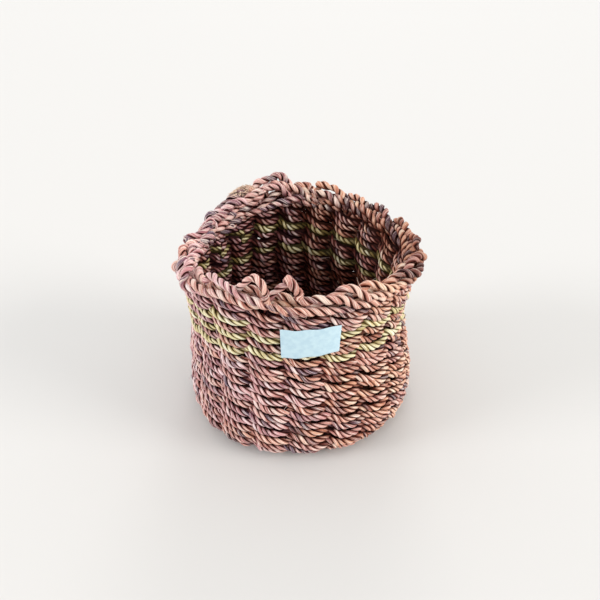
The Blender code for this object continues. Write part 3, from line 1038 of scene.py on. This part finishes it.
# Label: it rises to the right, and its top leans out as the wall does
LABEL_WIDTH = 0.0415
LABEL_HEIGHT = 0.0240
LABEL_THICKNESS = 0.0003
LABEL_MIDDLE = 0.1131
LABEL_SEAT = 0.0019
LABEL_TURN = math.radians(2.6)
LABEL_TILT = math.radians(2.5)
LABEL_LEAN = math.radians(6.0)
LABEL_COLUMNS = 64
LABEL_ROWS = 38
# The strip is a little taller than its tape in the middle, tapers to the right and has wavy edges:
# their size, radians across the strip and start
LABEL_TALLER = 1.07
LABEL_TAPER = 0.08
EDGE_WAVE = (0.0004, 17.0, 2.2)
# It bulges a little (size, radians across, start and radians up), and its ends lie deeper
LABEL_BULGE = (0.00025, 5.0, 2.0, 3.0)
END_SINKS = 0.014
END_START = 0.28


def label_piece(material):
    """A thin paper strip that rides on the crests of the stitches."""
    columns = np.linspace(-0.5, 0.5, LABEL_COLUMNS + 1)
    rows = np.linspace(-0.5, 0.5, LABEL_ROWS + 1)
    across, upward = np.meshgrid(columns, rows)
    face = -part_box("paper_label")[0].y - LABEL_THICKNESS - LABEL_SEAT
    turn = LABEL_TURN + across * LABEL_WIDTH / face
    size, waves_across, start, waves_up = LABEL_BULGE
    bulge = size * np.sin(waves_across * across + start) * np.cos(waves_up * upward)
    sunk = END_SINKS * np.clip(np.abs(across) - END_START, 0.0, 1.0) ** 2
    level = np.full(across.shape, LABEL_MIDDLE)
    middle = settle(place(turn, face + bulge - sunk, level).reshape(-1, 3))
    size, waves_across, start = EDGE_WAVE
    edge = size * np.sin(waves_across * across + start) * np.abs(2.0 * upward)
    tilt = LABEL_WIDTH * across * math.tan(LABEL_TILT)
    rise = upward * LABEL_HEIGHT * (LABEL_TALLER - LABEL_TAPER * across) + edge + tilt
    out = unit(middle * np.array([1.0, 1.0, 0.0]))
    up = math.cos(LABEL_LEAN) * np.array([0.0, 0.0, 1.0]) + math.sin(LABEL_LEAN) * out
    vertices = middle + rise.reshape(-1, 1) * up
    index = np.arange(across.size).reshape(across.shape)
    faces = np.stack([index[:-1, :-1], index[:-1, 1:], index[1:, 1:], index[1:, :-1]], -1).reshape(-1, 4)
    mesh = bpy.data.meshes.new("paper_label_sheet")
    mesh.from_pydata(vertices.tolist(), [], faces.tolist())
    mesh.shade_smooth()
    mesh.materials.append(material)
    piece = bpy.data.objects.new("paper_label_sheet", mesh)
    bpy.context.scene.collection.objects.link(piece)
    sheet = piece.modifiers.new("thickness", "SOLIDIFY")
    sheet.thickness = LABEL_THICKNESS
    sheet.offset = 1.0
    return piece


def dress(piece, node):
    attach(piece, "root")
    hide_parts(node)


# Random draws start from these numbers
FLOOR_SEED = 50
WEFT_SEED = 101
STAKE_SEED = 20


def weft_bands(pink, yellow):
    """Every twined pair's name, rounds, material and slot, from the foot to the rim."""
    bands = []
    share = ACCENT_LOWER[0] / LENGTHS_BELOW_ACCENT
    for number in range(LENGTHS_BELOW_ACCENT):
        rounds = (number * share, (number + 1) * share)
        bands.append(("lower_weft_%d_" % (number + 1), rounds, pink, "pink_rope"))
    return bands + [
        ("accent_weft_lower_", ACCENT_LOWER, yellow, "accent_rope"),
        ("middle_weft_", (ACCENT_LOWER[1], ACCENT_MIDDLE[0]), pink, "pink_rope"),
        ("accent_weft_middle_", ACCENT_MIDDLE, yellow, "accent_rope"),
        ("shoulder_weft_", (ACCENT_MIDDLE[1], ACCENT_UPPER[0]), pink, "pink_rope"),
        ("accent_weft_upper_", ACCENT_UPPER, yellow, "accent_rope"),
        ("upper_weft_", (ACCENT_UPPER[1], COURSE_COUNT), pink, "pink_rope"),
    ]


def build_basket():
    pink = rope_material("pink_rope", WARM_TONES, PINK_TONES, PINK_DARK, PINK_HIGHLIGHT)
    yellow = rope_material("accent_rope", YELLOW_TONES, YELLOW_TONES, YELLOW_DARK, YELLOW_HIGHLIGHT)
    stake = rope_material("stake_rope", WARM_TONES, PINK_TONES, PINK_DARK, WARM_HIGHLIGHT)
    seed = WEFT_SEED
    for partner, letter in enumerate("ab"):
        strands = Strands()
        floor_weft(strands, partner, np.random.default_rng(FLOOR_SEED + partner))
        dress(strands.make("floor_weft_" + letter + "_rope", pink), "floor_weft_" + letter)
        for stem, rounds, material, slot in weft_bands(pink, yellow):
            strands = Strands()
            weft(strands, partner, rounds, np.random.default_rng(seed), rounds[1] == COURSE_COUNT)
            dress(strands.make(stem + letter + "_rope", material), stem + letter)
            seed += 1
    for number in range(2 * STAKES_PER_SIDE):
        strands = Strands()
        long_stake(strands, number, np.random.default_rng(STAKE_SEED + number))
        name = "stake_%02d" % (number + 1)
        dress(strands.make(name + "_rope", stake), name)
    dress(label_piece(paper_material()), "paper_label")


# Camera, fitted to the photograph
CAMERA_LENS = 33.0
CAMERA_SENSOR = 36.0
CAMERA_DISTANCE = 0.479
CAMERA_ELEVATION = math.radians(32.1)
CAMERA_AIM = 0.0918
CAMERA_NEAR = 0.01

# Plain floor and soft studio light: where each lamp shines from, its angle, strength and colour
STAGE_SIZE = 20.0
STAGE_COLOUR = (0.72, 0.71, 0.69)
STAGE_ROUGHNESS = 0.9
WORLD_STRENGTH = 0.90
LAMPS = {
    "key": ((-1.0, -0.25, 0.40), 22.0, 1.15, (0.98, 0.98, 1.0)),
    "fill": ((1.0, -0.30, 0.38), 28.0, 1.60, (1.0, 0.98, 0.95)),
    "back": ((0.1, 1.0, 0.60), 25.0, 0.50, (1.0, 1.0, 1.0)),
}


def make_stage():
    corners = [(x * STAGE_SIZE, y * STAGE_SIZE, 0.0) for x, y in ((-1, -1), (1, -1), (1, 1), (-1, 1))]
    mesh = bpy.data.meshes.new("floor")
    mesh.from_pydata(corners, [], [(0, 1, 2, 3)])
    material = bpy.data.materials.new("floor")
    material.use_nodes = True
    shader = material.node_tree.nodes["Principled BSDF"]
    shader.inputs["Base Color"].default_value = (*STAGE_COLOUR, 1.0)
    shader.inputs["Roughness"].default_value = STAGE_ROUGHNESS
    mesh.materials.append(material)
    floor = bpy.data.objects.new("floor", mesh)
    bpy.context.scene.collection.objects.link(floor)


def aim(item, target):
    way = Vector(target) - Vector(item.location)
    item.rotation_euler = way.to_track_quat("-Z", "Y").to_euler()


def make_sun(name, shines_from, angle, strength, colour):
    lamp = bpy.data.lights.new(name, "SUN")
    lamp.angle = math.radians(angle)
    lamp.energy = strength
    lamp.color = colour
    item = bpy.data.objects.new(name, lamp)
    item.location = shines_from
    bpy.context.scene.collection.objects.link(item)
    aim(item, (0.0, 0.0, 0.0))


def make_camera():
    camera = bpy.data.cameras.new("camera")
    camera.lens = CAMERA_LENS
    camera.sensor_width = CAMERA_SENSOR
    camera.clip_start = CAMERA_NEAR
    item = bpy.data.objects.new("camera", camera)
    item.location = (0.0, -CAMERA_DISTANCE * math.cos(CAMERA_ELEVATION),
                     CAMERA_AIM + CAMERA_DISTANCE * math.sin(CAMERA_ELEVATION))
    bpy.context.scene.collection.objects.link(item)
    aim(item, (0.0, 0.0, CAMERA_AIM))
    bpy.context.scene.camera = item


def make_world():
    world = bpy.data.worlds.new("world")
    world.use_nodes = True
    background = world.node_tree.nodes["Background"]
    background.inputs["Color"].default_value = (*WHITE, 1.0)
    background.inputs["Strength"].default_value = WORLD_STRENGTH
    bpy.context.scene.world = world
    bpy.context.scene.view_settings.view_transform = "Standard"


make_stage()
make_camera()
make_world()
for lamp_name, lamp_values in LAMPS.items():
    make_sun(lamp_name, *lamp_values)
build_basket()
